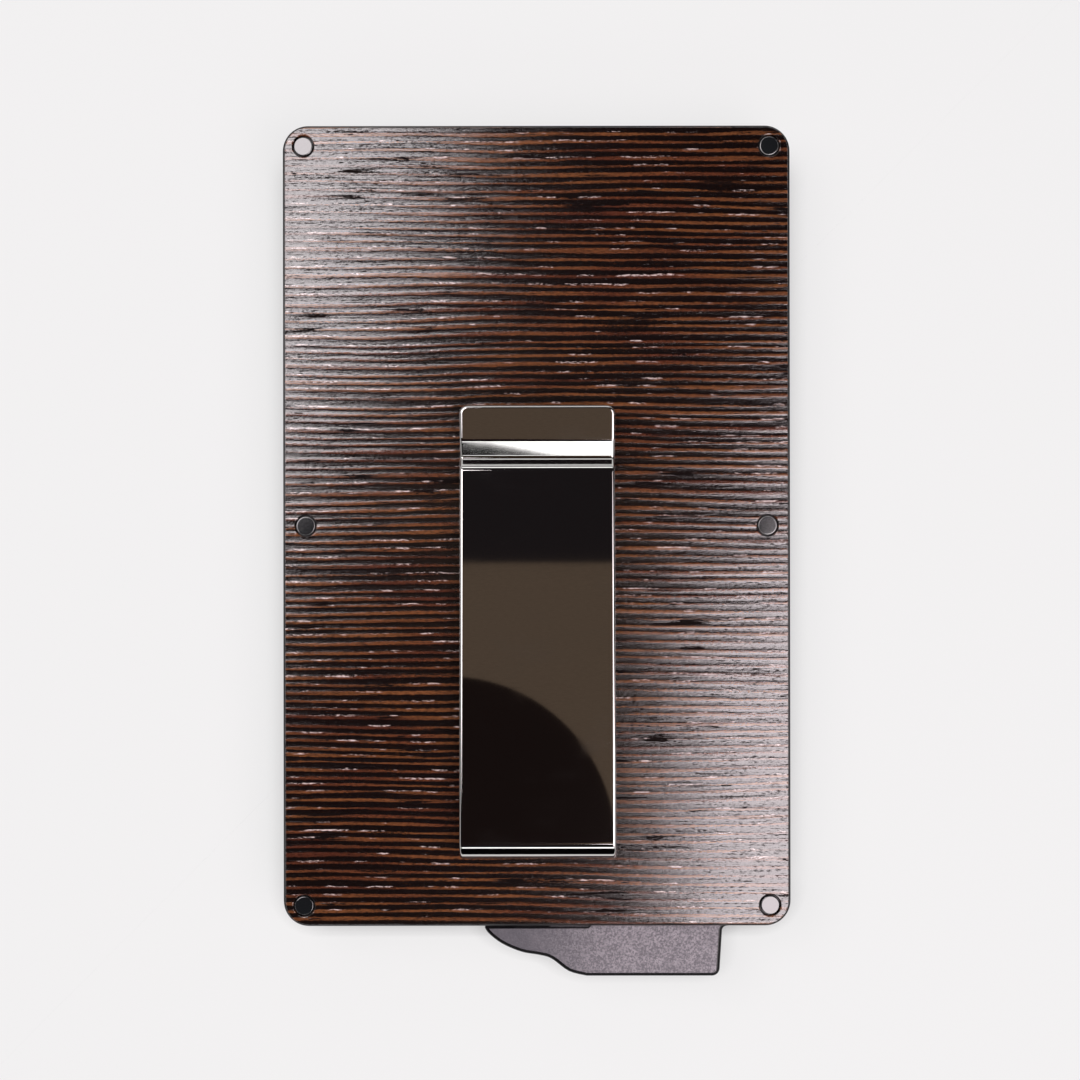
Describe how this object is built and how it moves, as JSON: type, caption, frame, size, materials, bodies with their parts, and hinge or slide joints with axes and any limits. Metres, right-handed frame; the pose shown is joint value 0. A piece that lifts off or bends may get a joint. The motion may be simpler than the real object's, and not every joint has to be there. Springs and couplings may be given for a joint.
{
  "type": "card wallet with money clip",
  "caption": "Slim wood-faced card wallet: a sprung money clip on the rear cover and a stepped lever at the bottom edge that fans the cards out of the top.",
  "frame": {"origin": "centre of the front cover's outer face, which the wallet lies on", "axes": "+X across the width, to the lever's pivot side; +Y along the length, towards the card mouth; +Z through the thickness, from the front cover to the clip"},
  "size_m": [0.064, 0.1077, 0.0152],
  "materials": {
    "wenge_veneer": "satin-lacquered wenge veneer, straight grain across the width, open pores",
    "black_anodised": "black anodised plate with softly rounded, slightly worn edges",
    "black_nylon": "black glass-filled nylon, matte",
    "black_polished_steel": "polished black coating with a fine bright rim",
    "frosted_gunmetal": "bead-blasted dark violet-grey faces with glossy black edges",
    "bronze": "plain turned bronze",
    "natural_nylon": "natural nylon washer stock",
    "spring_steel": "plain spring steel, lightly brushed",
    "bright_chrome": "mirror-bright chrome with rounded edges and fine handling marks"
  },
  "bodies": {
    "case": {"front_veneer": "wenge_veneer", "rear_veneer": "wenge_veneer", "front_carrier": "black_anodised", "rear_carrier": "black_anodised", "left_rail": "black_nylon", "right_rail": "black_nylon", "top_left_barrel": "black_polished_steel", "top_left_screw": "black_polished_steel", "top_right_barrel": "black_polished_steel", "top_right_screw": "black_polished_steel", "middle_left_barrel": "black_polished_steel", "middle_left_screw": "black_polished_steel", "middle_right_barrel": "black_polished_steel", "middle_right_screw": "black_polished_steel", "bottom_left_barrel": "black_polished_steel", "bottom_left_screw": "black_polished_steel", "pivot_barrel": "black_polished_steel", "pivot_screw": "black_polished_steel", "pivot_bush": "bronze", "front_washer": "natural_nylon", "rear_washer": "natural_nylon", "spring_root": "spring_steel", "spring_rivet_1": "spring_steel", "spring_rivet_2": "spring_steel", "clip_base": "bright_chrome", "clip_rivet_1": "spring_steel", "clip_rivet_2": "spring_steel"},
    "lever": {"fan_lever": "frosted_gunmetal"},
    "card_spring": {"spring_leaf": "spring_steel"},
    "clip_leaf": {"clip_leaf": "bright_chrome"}
  },
  "joints": [
    {"name": "lever_push", "type": "hinge", "parent": "case", "child": "lever", "pos_m": [0.0293, -0.04775, 0.0052], "axis": [0, 0, -1], "range_deg": [0, 18]},
    {"name": "card_spring_press", "type": "hinge", "parent": "case", "child": "card_spring", "pos_m": [0, 0.029, 0.00185], "axis": [1, 0, 0], "range_deg": [0, 1.3], "stiffness_Nm_per_rad": 0.8},
    {"name": "clip_lift", "type": "hinge", "parent": "case", "child": "clip_leaf", "pos_m": [0.0001, -0.03881, 0.01485], "axis": [1, 0, 0], "range_deg": [0, 4], "stiffness_Nm_per_rad": 4}
  ]
}
